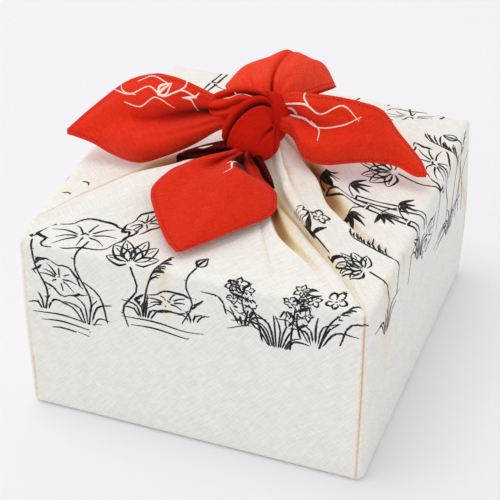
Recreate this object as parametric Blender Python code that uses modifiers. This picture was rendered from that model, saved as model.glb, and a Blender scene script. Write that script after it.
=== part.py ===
"""A square wrapping cloth tied over a plain box, Blender 4.5, metres, +Z up.

The box stands in the middle of the cloth with its sides square to the
cloth's diagonals.  Each corner of the cloth comes up one side of the box and
over its top, and the four corners are tied in one knot above the middle.
X runs along the wide front side, Y away from the viewer, and the origin is
at the middle of the base.
"""
import math

import bmesh
import bpy
import numpy as np

NAME = "furoshiki_wrap"
MM = 0.001

# Driving sizes, in millimetres
WRAP_WIDTH = 200.0        # X, over the cloth
WRAP_DEPTH = 215.0        # Y, over the cloth
WRAP_HEIGHT = 114.0       # Z, to the top edges
CLOTH_THICK = 1.5
UPRIGHT_ROUND = 6.5       # radius of the four upright edges
EDGE_ROUND = 3.5          # radius of the bottom and top edges
BASE_INSET = 9.0          # where the flat base begins
BOX_CLEAR = 4.0           # between the cloth and the sides of the box
REST_GAP = 0.3            # between the cloth and the base of the box
BOX_EDGE = 1.5            # rounding of the box's edges

NECK_RADIUS = 14.0        # where the four corners are gathered
NECK_Y = -2.0
NECK_TAPER = 0.15
TURN_FROM = 0.7           # from here to the neck the cloth turns upright
NECK_TOP = 41.0           # height of the gathered end above the top edges

# Height of the cloth over the top edges, from the edge (0) to the neck (1)
TENT = ((0.0, 0.0), (0.25, 2.5), (0.5, 6.0), (0.75, 11.0), (0.9, 17.0), (1.0, 26.0))

# One row for each line in which the cloth is folded, going round the wrap
# from the middle of the back: left side, front, right side and back again.
# place: millimetres along the top edge; neck: angle at which the line meets
# the gathered neck; bow, late: sideways sweep of the line on its way there,
# greatest half-way or near the neck; the rest: how far the cloth stands out
# at the middle of the side, at the top edge, at a quarter, half and three
# quarters of the way over the top, and at the neck.
FOLD_COLUMNS = ("place", "neck", "bow", "late", "side", "edge", "q25", "q50", "q75", "top")
FOLDS = {
    "back_middle":  (0, 110, 0, 0, 2.0, 1.5, 1.5, 1.0, 0.5, 0.0),
    "back_left":    (100, 150, 0, 0, 0.0, 0.5, 0.0, 0.0, 0.0, 0.0),
    "left_far":     (150, 168, 0, 0, 2.5, 3.0, 2.0, 1.0, 0.0, 0.0),
    "left_middle":  (207, 188, 0, 0, 3.5, 4.0, 2.5, 1.0, -1.0, 0.0),
    "left_ridge":   (268, 208, 0, 0, 3.0, 2.5, 2.5, 2.0, 1.0, 0.0),
    "pocket_floor": (293, 218, 0, 0, 2.0, 1.0, -1.5, -2.5, -2.5, -1.0),
    "flap_edge":    (297, 224, 0, 0, 2.0, 1.5, 3.0, 4.0, 3.0, 0.5),
    "front_left":   (315, 234, 0, 0, 0.0, 0.0, 2.0, 3.5, 3.0, 0.5),
    "front_dip":    (352, 244, 0, 0, 0.5, 0.0, -0.5, 0.5, 1.5, 0.0),
    "front_middle": (420, 258, 0, 0, 1.0, 0.5, 0.5, 0.5, 0.5, 0.0),
    "front_trough": (500, 272, 0, 0, 0.0, 0.0, -1.0, -2.0, -2.5, -0.5),
    "front_ridge":  (508, 288, 0, 0, 0.0, 0.0, 0.5, 1.5, 1.0, 0.0),
    "front_right":  (513, 304, 0, 0, 0.0, 0.0, -1.0, -1.5, -1.5, -1.0),
    "roll_rim":     (520, 370, 0, -7, 0.0, 0.0, 1.5, 3.5, 4.0, 1.0),
    "roll_side":    (528, 380, 0, -5, 0.0, 0.0, 1.0, 2.5, 3.0, 0.5),
    "right_valley": (566, 390, 0, 0, -0.5, -0.5, -1.5, -2.5, -3.0, -1.0),
    "right_ridge":  (573, 400, 0, 0, 1.0, 1.0, 1.5, 2.5, 2.5, 1.0),
    "right_middle": (625, 414, 0, 0, 2.0, 1.5, 1.0, 1.0, 1.0, 0.0),
    "lap_front":    (680, 428, 9, 0, 2.0, 2.0, 2.5, 2.0, 1.0, 0.0),
    "lap_back":     (684, 433, 9, 0, 1.5, 0.5, 0.5, 0.5, 0.5, 0.0),
    "back_right":   (730, 448, 9, 0, 1.5, -1.5, 1.0, 1.5, 1.0, 0.0),
    "back_end":     (830, 470, 0, 0, 2.0, 1.5, 1.5, 1.0, 0.5, 0.0),
}
COLUMN_PITCH = 14.0       # widest step between columns of the mesh
SLIT_FOLDS = ("pocket_floor", "flap_edge")   # open between these two lines
SLIT_RANGE = (0.12, 0.80)                    # how far over the top it is open

# Rows of the mesh up the side and over the top
SIDE_ROWS = 4
TOP_ROWS = (0.07, 0.17, 0.28, 0.4, 0.52, 0.64, 0.76, 0.88, 1.0)
ROUND_ROWS = 2
NECK_ROWS = 2
STATIONS = ("base", "side", "edge", "q25", "q50", "q75", "top")

# The four free ends, millimetres from the middle of the top edges' plane.
# One row across each end, from the knot out to the tip: the place of its
# upper or left hem, of its lower or right hem, how far its middle stands
# out (crown), and a furrow along it: how deep, and where across (0 to 1).
TAIL_COLUMNS = ("ax", "ay", "az", "bx", "by", "bz", "crown", "furrow", "across")
TAILS = {
    "left": (
        (-14, -2, 50, -13, -8, 40, 1, 1, 0.5),
        (-28, -3, 51, -27, -11, 36, 3, 3, 0.5),
        (-43, -2, 54, -37, -17, 26, 4, 6, 0.45),
        (-54, -1, 55, -49, -24, 17, 4, 6, 0.45),
        (-65, 1, 53, -63, -28, 12, 4, 4, 0.45),
        (-81, -1, 46, -80, -27, 12, 4, 2, 0.45),
        (-97, -13, 33, -93, -27, 17, 2, 0, 0.5),
        (-109, -24, 21, -108, -27, 19, 0, 0, 0.5),
    ),
    "front": (
        (-4, -14, 24, 6, -14, 24, 1, 2, 0.6),
        (-9, -26, 27, 8, -27, 26, 2, 4, 0.65),
        (-22, -33, 26, 13, -33, 23, 4, 4, 0.7),
        (-33, -43, 23, 20, -38, 19, 5, 3, 0.8),
        (-40, -60, 18, 26, -43, 16, 5, 2, 0.85),
        (-33, -76, 14, 28, -55, 12, 4, 1, 0.85),
        (-21, -91, 10, 9, -79, 10, 2, 0, 0.5),
        (-11, -97, 7, -8, -95, 7, 0, 0, 0.5),
    ),
    "right": (
        (10, 0, 50, 11, -4, 42, 1, 1, 0.4),
        (16, 6, 53, 20, -5, 35, 2, 3, 0.35),
        (28, 9, 54, 29, -10, 25, 4, 4, 0.33),
        (39, 14, 52, 41, -8, 20, 5, 3, 0.33),
        (53, 20, 48, 52, -1, 18, 5, 2, 0.35),
        (65, 25, 42, 63, 6, 17, 5, 1, 0.4),
        (76, 25, 31, 77, 11, 15, 3, 0, 0.5),
        (88, 21, 19, 89, 11, 13, 1, 0, 0.5),
        (94, 16, 13, 94, 14, 12, 0, 0, 0.5),
    ),
    "back": (
        (2, -2, 50, 10, 0, 50, 0, 0, 0.5),
        (-14, 8, 47, 22, 16, 46, 6, 3, 0.55),
        (-26, 20, 43, 30, 32, 39, 13, 5, 0.55),
        (-27, 32, 40, 30, 46, 35, 18, 5, 0.55),
        (-18, 46, 36, 22, 58, 32, 17, 3, 0.55),
        (-6, 58, 26, 12, 66, 24, 10, 1, 0.5),
        (0, 68, 15, 6, 70, 15, 1, 0, 0.5),
    ),
}
TAIL_STEPS_ALONG = 12
TAIL_STEPS_ACROSS = 8

# The wraps of the knot: fat bands along a curve.  One row for each station:
# place of its middle, half width across and half thickness.
BAND_COLUMNS = ("x", "y", "z", "wide", "thick")
BANDS = {
    "heart": (
        (0, 8, 52, 8, 8),
        (1, 4, 44, 15, 13),
        (1, -1, 34, 14, 12),
        (0, -2, 24, 9, 9),
    ),
    "front_wrap": (
        (10, -2, 56, 5, 4),
        (8, -11, 51, 13, 6),
        (3, -15, 40, 16, 7),
        (0, -13, 29, 13, 7),
        (-2, -6, 22, 9, 6),
    ),
    "collar": (
        (10, 3, 53, 6, 5),
        (0, 0, 55, 11, 6),
        (-13, -2, 52, 11, 7),
        (-23, -4, 46, 10, 6),
        (-30, -5, 44, 7, 4),
    ),
}
BAND_STEPS = 8
BAND_SIDES = 14
BAND_FACE_FROM = (0.0, 30.0, 28.0)   # the wraps show their broad side away from here


def fold(name, column):
    """One value of the table of fold lines."""
    return FOLDS[name][FOLD_COLUMNS.index(column)]


def smooth(t):
    """Ease from 0 to 1."""
    return t * t * (3.0 - 2.0 * t)


def spline(rows, count):
    """Points of a smooth curve through the rows of a table, count in all."""
    rows = np.asarray(rows, float)
    ends = np.vstack([2 * rows[0] - rows[1], rows, 2 * rows[-1] - rows[-2]])
    at = np.linspace(0.0, len(rows) - 1.0, count)
    start = np.minimum(at.astype(int), len(rows) - 2)
    t = (at - start)[:, None]
    p0, p1, p2, p3 = (ends[start + k] for k in range(4))
    return 0.5 * (2 * p1 + (p2 - p0) * t + (2 * p0 - 5 * p1 + 4 * p2 - p3) * t ** 2
                  + (3 * p1 - p0 - 3 * p2 + p3) * t ** 3)


def outline(place, inset):
    """Plan position and outward direction at a place on the rounded outline."""
    corners = ((100.0, -1, 1), (315.0, -1, -1), (515.0, 1, -1), (730.0, 1, 1))
    half = (WRAP_WIDTH / 2, WRAP_DEPTH / 2)
    for corner, side_x, side_y in corners:
        away = place - corner
        if abs(away) < UPRIGHT_ROUND:
            centre = (side_x * (half[0] - UPRIGHT_ROUND), side_y * (half[1] - UPRIGHT_ROUND))
            turn = math.radians(45.0 * away / UPRIGHT_ROUND)
            angle = math.atan2(side_y, side_x) + turn
            out = (math.cos(angle), math.sin(angle))
            reach = UPRIGHT_ROUND - inset
            return np.array((centre[0] + reach * out[0], centre[1] + reach * out[1])), np.array(out)
    if place < 100.0 or place > 730.0:
        across = -place if place < 100.0 else 830.0 - place
        return np.array((across, half[1] - inset)), np.array((0.0, 1.0))
    if place < 315.0:
        return np.array((-half[0] + inset, half[1] - (place - 100.0))), np.array((-1.0, 0.0))
    if place < 515.0:
        return np.array((-half[0] + place - 315.0, -half[1] + inset)), np.array((0.0, -1.0))
    return np.array((half[0] - inset, -half[1] + place - 515.0)), np.array((1.0, 0.0))


def columns():
    """Places of the mesh columns: every fold line and even steps between."""
    lines = [fold(name, "place") for name in FOLDS]
    corner_steps = (-1.0, -0.5, 0.0, 0.5, 1.0)
    places = set(lines[:-1])
    for corner in ("back_left", "front_left", "front_right", "back_right"):
        places.update(fold(corner, "place") + UPRIGHT_ROUND * k for k in corner_steps)
    for start, end in zip(lines[:-1], lines[1:]):
        steps = max(1, round((end - start) / COLUMN_PITCH))
        places.update(start + (end - start) * k / steps for k in range(steps))
    kept = sorted(places)
    return [p for i, p in enumerate(kept) if i == 0 or p - kept[i - 1] > 0.9]


def rows():
    """Rows of the mesh: (kind, value, station) from the base to the neck."""
    result = [("base", BASE_INSET, 0.0)]
    for k in range(ROUND_ROWS + 1):
        result.append(("foot", k / ROUND_ROWS, 0.1 * k / ROUND_ROWS))
    for k in range(1, SIDE_ROWS):
        result.append(("side", k / SIDE_ROWS, 0.1 + 1.8 * k / SIDE_ROWS))
    for k in range(ROUND_ROWS + 1):
        result.append(("brow", k / ROUND_ROWS, 1.9 + 0.1 * k / ROUND_ROWS))
    for q in TOP_ROWS:
        result.append(("top", q, 2.0 + 4.0 * q))
    for k in range(1, NECK_ROWS + 1):
        result.append(("neck", k / NECK_ROWS, 6.0))
    return result


def stand_out(place, station):
    """How far the cloth stands out there, between the two nearest fold lines."""
    names = list(FOLDS)
    places = [fold(name, "place") for name in names]
    after = int(np.searchsorted(places, place, side="right"))
    after = min(max(after, 1), len(names) - 1)
    before = after - 1
    share = smooth((place - places[before]) / (places[after] - places[before]))
    heights = []
    for name in (names[before], names[after]):
        stops = [0.0] + [fold(name, column) for column in STATIONS[1:]]
        heights.append(np.interp(station, range(len(stops)), stops))
    return heights[0] + share * (heights[1] - heights[0])


def wrap_point(place, row, depth):
    """One point of the wrapped cloth, depth millimetres below its outside."""
    kind, value, station = row
    lines = [fold(name, "place") for name in FOLDS]
    lift = stand_out(place, station) - depth
    if kind == "base":
        plan = outline(place, 0.0)[0] * (1.0 - value / (WRAP_WIDTH / 2))
        return (*plan, depth)
    if kind in ("foot", "side", "brow"):
        quarter = value * math.pi / 2
        inset, z, slope = 0.0, EDGE_ROUND + value * (WRAP_HEIGHT - 2 * EDGE_ROUND), 0.0
        if kind == "foot":
            inset, z = EDGE_ROUND * (1 - math.sin(quarter)), EDGE_ROUND * (1 - math.cos(quarter))
            slope = quarter - math.pi / 2
        if kind == "brow":
            inset = EDGE_ROUND * (1 - math.cos(quarter))
            z = WRAP_HEIGHT - EDGE_ROUND * (1 - math.sin(quarter))
            slope = quarter
        plan, out = outline(place, inset)
        plan = plan + out * lift * math.cos(slope)
        return (*plan, z + lift * math.sin(slope))
    angle = math.radians(np.interp(place, lines, [fold(name, "neck") for name in FOLDS]))
    toward = np.array((math.cos(angle), math.sin(angle)))
    centre = np.array((0.0, NECK_Y))
    if kind == "neck":
        plan = centre + toward * (NECK_RADIUS * (1.0 - NECK_TAPER * value) + lift)
        return (*plan, WRAP_HEIGHT + TENT[-1][1] + value * (NECK_TOP - TENT[-1][1]))
    start = outline(place, EDGE_ROUND)[0]
    way = centre + toward * NECK_RADIUS - start
    aside = np.array((way[1], -way[0])) / np.hypot(*way)
    bow = np.interp(place, lines, [fold(name, "bow") for name in FOLDS])
    late = np.interp(place, lines, [fold(name, "late") for name in FOLDS])
    sweep = bow * math.sin(math.pi * value) + late * math.sin(math.pi * value ** 3)
    turned = math.pi / 2 * smooth(max(0.0, (value - TURN_FROM) / (1.0 - TURN_FROM)))
    plan = start + way * value + aside * sweep + toward * lift * math.sin(turned)
    height = np.interp(value, *zip(*TENT))
    return (*plan, WRAP_HEIGHT + height + lift * math.cos(turned))


def new_object(name, bm, collection):
    """Mesh object from a bmesh, in metres."""
    bmesh.ops.scale(bm, vec=(MM, MM, MM), verts=bm.verts)
    mesh = bpy.data.meshes.new(name)
    bm.to_mesh(mesh)
    bm.free()
    obj = bpy.data.objects.new(name, mesh)
    collection.objects.link(obj)
    return obj


def make_material(name, colour, roughness):
    material = bpy.data.materials.new(name)
    material.use_nodes = True
    shader = material.node_tree.nodes["Principled BSDF"]
    shader.inputs["Base Color"].default_value = (*colour, 1.0)
    shader.inputs["Roughness"].default_value = roughness
    shader.inputs["Metallic"].default_value = 0.0
    return material


def thicken(obj, thickness, offset):
    solidify = obj.modifiers.new("cloth thickness", "SOLIDIFY")
    solidify.thickness = thickness * MM
    solidify.offset = offset
    solidify.use_rim = True
    return solidify


def next_ring(bm, ring):
    """Extrude a closed ring of vertices and return the new ring in order."""
    edges = [bm.edges.get((vert, ring[k - 1])) for k, vert in enumerate(ring)]
    grown = bmesh.ops.extrude_edge_only(bm, edges=edges)["geom"]
    above = {}
    for vert in (g for g in grown if isinstance(g, bmesh.types.BMVert)):
        for edge in vert.link_edges:
            above[edge.other_vert(vert)] = vert
    return [above[vert] for vert in ring]


def first_ring(bm, count):
    """A capped ring of vertices, counter-clockwise."""
    ring = bmesh.ops.create_circle(bm, cap_ends=True, segments=count, radius=1.0)["verts"]
    return sorted(ring, key=lambda vert: math.atan2(vert.co.y, vert.co.x))


def wall_depths(places, path):
    """Depth of the inside below the outside, more where the cloth is steep."""
    outer = np.array([[wrap_point(place, row, 0.0) for place in places] for row in path])
    inner = np.array([[wrap_point(place, row, 1.0) for place in places] for row in path])
    along = np.gradient(outer, axis=0)
    across = np.roll(outer, -1, axis=1) - np.roll(outer, 1, axis=1)
    normal = np.cross(across, along)
    normal /= np.linalg.norm(normal, axis=2, keepdims=True)
    square = np.abs(np.sum(normal * (inner - outer), axis=2))
    return CLOTH_THICK / np.clip(square, 0.5, 1.0)


def wrap_body(collection):
    """The cloth round the box: its outside from base to neck, then its inside."""
    places, path = columns(), rows()
    depths = wall_depths(places, path)
    layers = [(row, [0.0] * len(places)) for row in path]
    layers += [(row, depths[k]) for k, row in reversed(list(enumerate(path)))]
    slit = [fold(name, "place") for name in SLIT_FOLDS]
    bm = bmesh.new()
    ring = first_ring(bm, len(places))
    opened = set()
    for step, (row, below) in enumerate(layers):
        if step:
            ring = next_ring(bm, ring)
        for vert, place, depth in zip(ring, places, below):
            vert.co = wrap_point(place, row, depth)
        reach = min(row[1], layers[step - 1][0][1]), max(row[1], layers[step - 1][0][1])
        if row[0] == "top" and SLIT_RANGE[0] <= reach[0] and reach[1] <= SLIT_RANGE[1]:
            for k, vert in enumerate(ring[:-1]):
                if slit[0] <= places[k] < slit[1]:
                    opened.update(bm.edges.get((vert, ring[k + 1])).link_faces)
    bmesh.ops.contextual_create(bm, geom=ring)
    bmesh.ops.delete(bm, geom=list(opened), context="FACES")
    rims = [edge for edge in bm.edges if edge.is_boundary]
    bmesh.ops.bridge_loops(bm, edges=rims)
    bmesh.ops.recalc_face_normals(bm, faces=bm.faces)
    return new_object("cloth", bm, collection)


def tail(name, collection):
    """One free end: a flat grid laid between its two hems."""
    table = spline(TAILS[name], TAIL_STEPS_ALONG + 1)
    bm = bmesh.new()
    bmesh.ops.create_grid(bm, x_segments=TAIL_STEPS_ALONG, y_segments=TAIL_STEPS_ACROSS, size=0.5)
    for vert in bm.verts:
        along = round((vert.co.x + 0.5) * TAIL_STEPS_ALONG)
        across = vert.co.y + 0.5
        ax, ay, az, bx, by, bz, crown, furrow, seat = table[along]
        left, right = np.array((ax, ay, az)), np.array((bx, by, bz))
        before, after = table[max(along - 1, 0)], table[min(along + 1, TAIL_STEPS_ALONG)]
        run = (after[0:3] + after[3:6]) / 2 - (before[0:3] + before[3:6]) / 2
        face = np.cross(run, right - left)
        face = face / np.linalg.norm(face)
        if face[2] < 0:
            face = -face
        rise = crown * 4.0 * across * (1.0 - across)
        rise -= furrow * math.exp(-((across - seat) / 0.16) ** 2)
        point = left + (right - left) * across + face * rise
        vert.co = (point[0], point[1], point[2] + WRAP_HEIGHT)
    bmesh.ops.recalc_face_normals(bm, faces=bm.faces)
    obj = new_object("end_" + name, bm, collection)
    thicken(obj, CLOTH_THICK, 0.0)
    return obj


def band(name, collection):
    """One wrap of the knot: a closed fat band swept along its curve."""
    table = spline(BANDS[name], BAND_STEPS + 1)
    bm = bmesh.new()
    ring = first_ring(bm, BAND_SIDES)
    for step in range(BAND_STEPS + 1):
        x, y, z, wide, thick = table[step]
        before, after = table[max(step - 1, 0)], table[min(step + 1, BAND_STEPS)]
        run = after[:3] - before[:3]
        run = run / np.linalg.norm(run)
        outward = np.array((x, y, z)) - BAND_FACE_FROM
        outward = outward - run * outward.dot(run)
        outward = outward / np.linalg.norm(outward)
        side = np.cross(run, outward)
        if step:
            ring = next_ring(bm, ring)
        for k, vert in enumerate(ring):
            turn = 2 * math.pi * k / BAND_SIDES
            point = np.array((x, y, z)) + side * wide * math.cos(turn) + outward * thick * math.sin(turn)
            vert.co = (point[0], point[1], point[2] + WRAP_HEIGHT)
    bmesh.ops.contextual_create(bm, geom=ring)
    bmesh.ops.recalc_face_normals(bm, faces=bm.faces)
    return new_object("wrap_" + name, bm, collection)


def inner_box(collection):
    """The plain closed box that the cloth goes round."""
    margin = CLOTH_THICK + BOX_CLEAR
    size = (WRAP_WIDTH - 2 * margin, WRAP_DEPTH - 2 * margin)
    floor = CLOTH_THICK + REST_GAP
    height = WRAP_HEIGHT - margin - floor
    bm = bmesh.new()
    bmesh.ops.create_cube(bm, size=1.0)
    bmesh.ops.scale(bm, vec=(size[0], size[1], height), verts=bm.verts)
    bmesh.ops.translate(bm, vec=(0.0, 0.0, floor + height / 2), verts=bm.verts)
    bmesh.ops.bevel(bm, geom=list(bm.edges), offset=BOX_EDGE, segments=2, profile=0.5,
                    affect="EDGES", material=-1)
    return new_object("box", bm, collection)


def hide(piece):
    """Keep a piece that is joined to the cloth out of the render."""
    piece.hide_render = True
    piece.display_type = "WIRE"


for old in list(bpy.data.objects):
    bpy.data.objects.remove(old, do_unlink=True)

model = bpy.data.collections.new(NAME)
joined = bpy.data.collections.new(NAME + "_joined")
bpy.context.scene.collection.children.link(model)
bpy.context.scene.collection.children.link(joined)

cloth = wrap_body(model)
for band_name in BANDS:
    hide(band(band_name, joined))
for tail_name in TAILS:
    hide(tail(tail_name, joined))
union = cloth.modifiers.new("knot and free ends", "BOOLEAN")
union.operation = "UNION"
union.solver = "EXACT"
union.operand_type = "COLLECTION"
union.collection = joined
cloth.data.materials.append(make_material("cloth", (0.86, 0.84, 0.78), 0.8))

box = inner_box(model)
box.data.materials.append(make_material("card", (0.62, 0.52, 0.40), 0.7))
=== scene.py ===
import math
import random

import bmesh
import bpy
import numpy as np
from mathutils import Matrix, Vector


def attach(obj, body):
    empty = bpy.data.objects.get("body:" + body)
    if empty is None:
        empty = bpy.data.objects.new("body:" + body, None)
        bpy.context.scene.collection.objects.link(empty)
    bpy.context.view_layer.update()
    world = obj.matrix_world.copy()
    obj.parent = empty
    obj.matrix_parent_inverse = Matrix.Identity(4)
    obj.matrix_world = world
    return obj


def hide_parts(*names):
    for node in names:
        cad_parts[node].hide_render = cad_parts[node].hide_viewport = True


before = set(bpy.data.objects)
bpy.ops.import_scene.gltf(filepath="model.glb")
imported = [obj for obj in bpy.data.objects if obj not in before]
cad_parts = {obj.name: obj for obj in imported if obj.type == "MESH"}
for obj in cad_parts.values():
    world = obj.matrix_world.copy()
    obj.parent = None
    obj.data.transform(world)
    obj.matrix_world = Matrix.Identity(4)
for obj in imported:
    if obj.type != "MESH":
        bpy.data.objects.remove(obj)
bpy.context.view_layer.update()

# Camera: a long lens about 0.9 m away, looking down on the front right corner
# of the wrapped box, as the photograph does.
VIEW_AZIMUTH, VIEW_ELEVATION = math.radians(20.5), math.radians(34.6)
VIEW_DISTANCE, VIEW_TARGET = 0.940, Vector((-0.0070, 0.0040, 0.0570))
SENSOR, FOCAL_PIXELS, FRAME_PIXELS = 36.0, 1566.7, 500.0


def show(name, data):
    """An object of this name, in the scene."""
    shown = bpy.data.objects.new(name, data)
    bpy.context.scene.collection.objects.link(shown)
    return shown


camera_data = bpy.data.cameras.new("view")
camera_data.sensor_width = SENSOR
camera_data.lens = SENSOR * FOCAL_PIXELS / FRAME_PIXELS
camera_data.clip_start = 0.05
camera = show("view", camera_data)
back = Vector((math.sin(VIEW_AZIMUTH) * math.cos(VIEW_ELEVATION),
               -math.cos(VIEW_AZIMUTH) * math.cos(VIEW_ELEVATION), math.sin(VIEW_ELEVATION)))
camera.location = VIEW_TARGET + back * VIEW_DISTANCE
camera.rotation_euler = back.to_track_quat("Z", "Y").to_euler()
bpy.context.scene.camera = camera
bpy.context.scene.view_settings.view_transform = "Standard"

# Wrapped cloth: one square of plain slub-weave cotton, drawn up the four
# sides of the box and over its top to the knot. Its folds are pressed in by
# hand, and all sizes here are millimetres.
WIDTH, DEPTH, HEIGHT = 200.0, 215.0, 114.0
UPRIGHT_ROUND, EDGE_ROUND = 5.0, 3.5
ROUND = 2 * (WIDTH + DEPTH)
BACK_LEFT, FRONT_LEFT = WIDTH / 2, WIDTH / 2 + DEPTH
FRONT_RIGHT, BACK_RIGHT = FRONT_LEFT + WIDTH, ROUND - WIDTH / 2
NECK_RADIUS, NECK_Y, NECK_TOP = 14.0, -2.0, 41.0
TENT = ((0.0, 0.0), (0.25, 2.5), (0.5, 6.0), (0.75, 11.0), (0.9, 17.0), (1.0, 26.0))
CLOTH_THICK = 0.55

# A row for each line from the edge of the top to the knot, going round from
# the middle of the back: its place along the edge, the angle at which it
# meets the neck, how far it sways aside at a quarter, half, three quarters
# and nine tenths of the way, and how far the cloth stands out at the side's
# middle, the edge, at a quarter, half and three quarters, and at the neck.
FOLDS = {
    "back_middle":  (0, 110, (0, 0, 0, 0), (2, 1.5, 1.5, 1, 0.5, 0)),
    "back_left":    (100, 150, (0, 0, 0, 0), (1, 0.5, 0, 0, 0, 0)),
    "left_far":     (150, 168, (0, 0, 0, 0), (2.5, 3, 2, 1, 0, 0)),
    "left_middle":  (207, 188, (0, 0, 0, 0), (3.5, 4, 2.5, 1, -0.5, 0)),
    "left_ridge":   (268, 206, (-3, -4, -2, 0), (3, 2, 1.5, 1.5, 0.5, 0)),
    "flap_edge":    (296, 222, (-6, -7.7, -2.8, -1), (2, 1, 2, 4, 3, 0)),
    "front_left":   (315, 234, (-2, -3, -1.5, 0), (1.5, 0.5, 2, 3.5, 3, 0.5)),
    "front_dip":    (352, 244, (0, 0, 0, 0), (0.5, 0, 0, 0.5, 1.5, 0)),
    "front_middle": (420, 258, (0, 0, 0, 0), (1, 0.5, 0.5, 0.5, 0.5, 0)),
    "front_pleat":  (464, 261, (0, 0, 0, 0), (0.3, 0.2, 0.3, 0.5, 0.5, 0)),
    "front_trough": (497, 264, (-0.2, -5.8, -1.7, -0.2), (0, 0, 0.5, 0.5, 0.5, 0)),
    "front_ridge":  (506, 276, (-1.8, -5.5, -2.8, -0.9), (0, 0, 1, 2.5, 2.5, 1)),
    "front_right":  (513.5, 293, (1, 0.1, -1.7, -0.4), (0, 0, -0.5, -1, -1, -1)),
    "roll_rim":     (519, 325, (1.4, -2.2, -4.1, -1.6), (0, 0, 1.5, 3, 4, 1.5)),
    "roll_side":    (530, 352, (-0.2, -3, -4, -2.5), (0, 0, 1, 2.5, 3, 0.5)),
    "right_valley": (568, 388, (-4.7, -5.5, 1.5, 3), (0, 0, 0.5, 0.5, 0.5, -0.5)),
    "right_ridge":  (576, 398, (0.7, 1.5, 5, 4), (0.5, 0.5, 1, 2, 2.5, 1)),
    "right_middle": (625, 414, (0, 0, 0, 0), (1.5, 1, 1, 1, 1, 0)),
    "lap":          (682, 431, (6, 9, 6, 3), (1.5, 1, 1, 1, 0.5, 0)),
    "back_right":   (730, 448, (6, 9, 6, 3), (2, -1.5, 0.5, 1, 1, 0)),
    "back_end":     (830, 470, (0, 0, 0, 0), (2, 1.5, 1.5, 1, 0.5, 0)),
}
LINE_AT, LINE_ANGLE, LINE_SWAY, LINE_LIFT = (np.array(column, float) for column in zip(*FOLDS.values()))
SWAY_AT = (0.0, 0.25, 0.5, 0.75, 0.9, 1.0)
LIFT_AT = (0.0, 0.5, 1.0, 2.0, 3.0, 4.0, 5.0)
FOOT_TO, BROW_FROM = 0.08, 0.95


def smooth(t):
    return t * t * (3.0 - 2.0 * t)


def ease(values, at, places):
    """Values at the lines, eased between them."""
    after = np.clip(np.searchsorted(at, places, side="right"), 1, len(at) - 1)
    share = smooth(np.clip((places - at[after - 1]) / (at[after] - at[after - 1]), 0.0, 1.0))
    return values[after - 1] + share * (values[after] - values[after - 1])


def outline(place, inset):
    """Plan point on the rounded outline of the box, so far inside it."""
    half = (WIDTH / 2, DEPTH / 2)
    for corner, side_x, side_y in ((BACK_LEFT, -1, 1), (FRONT_LEFT, -1, -1), (FRONT_RIGHT, 1, -1), (BACK_RIGHT, 1, 1)):
        away = place - corner
        if abs(away) < UPRIGHT_ROUND:
            angle = math.atan2(side_y, side_x) + math.radians(45.0 * away / UPRIGHT_ROUND)
            reach = UPRIGHT_ROUND - inset
            return (side_x * (half[0] - UPRIGHT_ROUND) + reach * math.cos(angle),
                    side_y * (half[1] - UPRIGHT_ROUND) + reach * math.sin(angle))
    if place < BACK_LEFT or place > BACK_RIGHT:
        return (-place if place < BACK_LEFT else ROUND - place, half[1] - inset)
    if place < FRONT_LEFT:
        return (-half[0] + inset, half[1] - (place - BACK_LEFT))
    if place < FRONT_RIGHT:
        return (-half[0] + place - FRONT_LEFT, -half[1] + inset)
    return (half[0] - inset, -half[1] + place - FRONT_RIGHT)


def round_places():
    """Columns of the mesh: closer together by the folds and the corners."""
    spacing = ((0, 3.6), (94, 3.0), (95, 1.0), (105, 1.0), (108, 3.4), (255, 2.6), (284, 1.2), (303, 1.2),
               (309, 1.0), (322, 1.0), (330, 2.0), (470, 2.0), (486, 1.3), (504, 1.0), (509, 0.55), (524, 0.55),
               (534, 1.3), (556, 1.3), (565, 0.7), (576, 0.7), (584, 1.2), (600, 2.2), (664, 2.0), (674, 1.2),
               (688, 1.0), (698, 1.6), (720, 1.6), (724, 0.9), (737, 0.9), (744, 2.0), (770, 3.4), (830, 3.6))
    at, step = zip(*spacing)
    result, place = [], 0.0
    while place < ROUND - 0.5:
        result.append(place)
        place += float(np.interp(place, at, step))
    return np.array(result) * (ROUND / place)


def upward_rows():
    """Rows of the mesh from the middle of the base to the knot: kind, value, station.

    The station is 0 at the foot, 1 at the edge of the top and 5 at the neck.
    """
    result = [("base", b, 0.0) for b in (0.0, 0.15, 0.4, 0.6, 0.75, 0.86, 0.93, 0.97)]
    result += [("foot", k / 5, FOOT_TO * k / 5) for k in range(6)]
    result += [("side", k / 22, FOOT_TO + (BROW_FROM - FOOT_TO) * k / 22) for k in range(1, 22)]
    result += [("brow", k / 5, BROW_FROM + (1 - BROW_FROM) * k / 5) for k in range(6)]
    result += [("top", q, 1.0 + 4.0 * q) for q in np.linspace(0.0, 1.0, 55)[1:]]
    result += [("neck", k / 6, 5.0) for k in range(1, 7)]
    return result


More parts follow.
